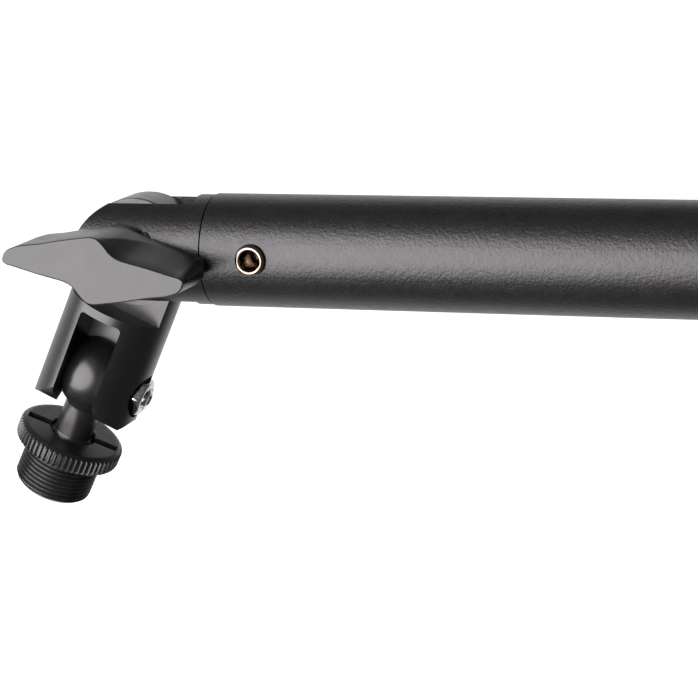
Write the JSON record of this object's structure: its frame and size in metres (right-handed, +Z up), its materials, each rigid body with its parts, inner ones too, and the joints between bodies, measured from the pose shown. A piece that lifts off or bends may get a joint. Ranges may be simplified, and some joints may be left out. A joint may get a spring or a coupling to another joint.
{
  "type": "boom pole",
  "caption": "Telescopic microphone boom pole: twist clutch, clevis head with wing knob, tilting ball joint and 5/8 in threaded adapter.",
  "frame": {"origin": "on the pole axis, in the middle of the bare stretch of the rear tube where a stand clamp holds it", "axes": "+X along the pole from the microphone head to the butt, +Z up, +Y away from the wing knob"},
  "size_m": [0.4922, 0.043, 0.0704],
  "materials": {
    "tube_powder_coat": "fine textured black powder coat",
    "clevis_powder_coat": "fine textured black powder coat on a die casting",
    "swivel_satin_black": "smooth satin black",
    "knob_plastic": "satin moulded plastic",
    "insert_brass": "turned brass",
    "rivet_nickel": "warm nickel plate",
    "bolt_black_zinc": "black zinc plate",
    "friction_washer_nylon": "grey-black acetal",
    "washer_steel": "zinc plate",
    "screw_chrome": "bright plate",
    "pad_nylon": "natural nylon",
    "stud_black": "black chrome, smooth",
    "adapter_black": "black chrome on zinc",
    "rear_tube_powder_coat": "fine textured black powder coat",
    "clutch_plastic": "satin moulded nylon",
    "collet_plastic": "acetal",
    "bush_plastic": "natural acetal",
    "cap_rubber": "soft matt rubber",
    "grip_foam": "closed-cell foam",
    "ring_plastic": "satin moulded plastic"
  },
  "bodies": {
    "rear_pole": {"rear_tube": "rear_tube_powder_coat", "clutch_body": "clutch_plastic", "collet": "collet_plastic", "rear_plug": "ring_plastic", "end_cap": "cap_rubber", "foam_grip": "grip_foam", "grip_rings": "ring_plastic"},
    "lock_collar": {"lock_collar": "clutch_plastic"},
    "front_pole": {"front_tube": "tube_powder_coat", "clevis": "clevis_powder_coat", "tube_rivet": "rivet_nickel", "pivot_bolt": "bolt_black_zinc", "near_friction_washer": "friction_washer_nylon", "far_friction_washer": "friction_washer_nylon", "knob_washer": "washer_steel", "guide_bush": "bush_plastic", "front_tube_plug": "ring_plastic"},
    "wing_knob": {"wing_knob": "knob_plastic", "knob_insert": "insert_brass"},
    "swivel": {"swivel_body": "swivel_satin_black", "pressure_pad": "pad_nylon"},
    "tension_screw": {"tension_screw": "screw_chrome"},
    "lock_nut": {"lock_nut": "screw_chrome"},
    "ball_stud": {"ball_stud": "stud_black"},
    "thread_adapter": {"thread_adapter": "adapter_black"}
  },
  "joints": [
    {"name": "pole_slide", "type": "slide", "parent": "rear_pole", "child": "front_pole", "axis": [-1, 0, 0], "range_m": [0, 0.239]},
    {"name": "collar_twist", "type": "hinge", "parent": "rear_pole", "child": "lock_collar", "pos_m": [-0.096, 0, 0], "axis": [1, 0, 0], "range_deg": [0, 90]},
    {"name": "head_pivot", "type": "hinge", "parent": "front_pole", "child": "swivel", "pos_m": [-0.232, 0, 0], "axis": [0, 1, 0], "range_deg": [-28, 159]},
    {"name": "knob_turn", "type": "hinge", "parent": "front_pole", "child": "wing_knob", "pos_m": [-0.232, -0.02, 0], "axis": [0, -1, 0], "range_deg": [0, 360]},
    {"name": "stud_tilt", "type": "hinge", "parent": "swivel", "child": "ball_stud", "pos_m": [-0.24373, 0, -0.02598], "axis": [-0.8918, 0, 0.4524], "range_deg": [-10, 93.3]},
    {"name": "adapter_turn", "type": "hinge", "parent": "ball_stud", "child": "thread_adapter", "pos_m": [-0.24373, 0, -0.02598], "axis": [-0.4517, 0.0576, -0.8903], "continuous": true},
    {"name": "tension_screw_turn", "type": "hinge", "parent": "swivel", "child": "tension_screw", "pos_m": [-0.24373, 0, -0.02598], "axis": [0.9114, 0, -0.4115], "range_deg": [-90, 180]},
    {"name": "lock_nut_turn", "type": "hinge", "parent": "swivel", "child": "lock_nut", "pos_m": [-0.24373, 0, -0.02598], "axis": [0.9114, 0, -0.4115], "range_deg": [0, 180]}
  ]
}
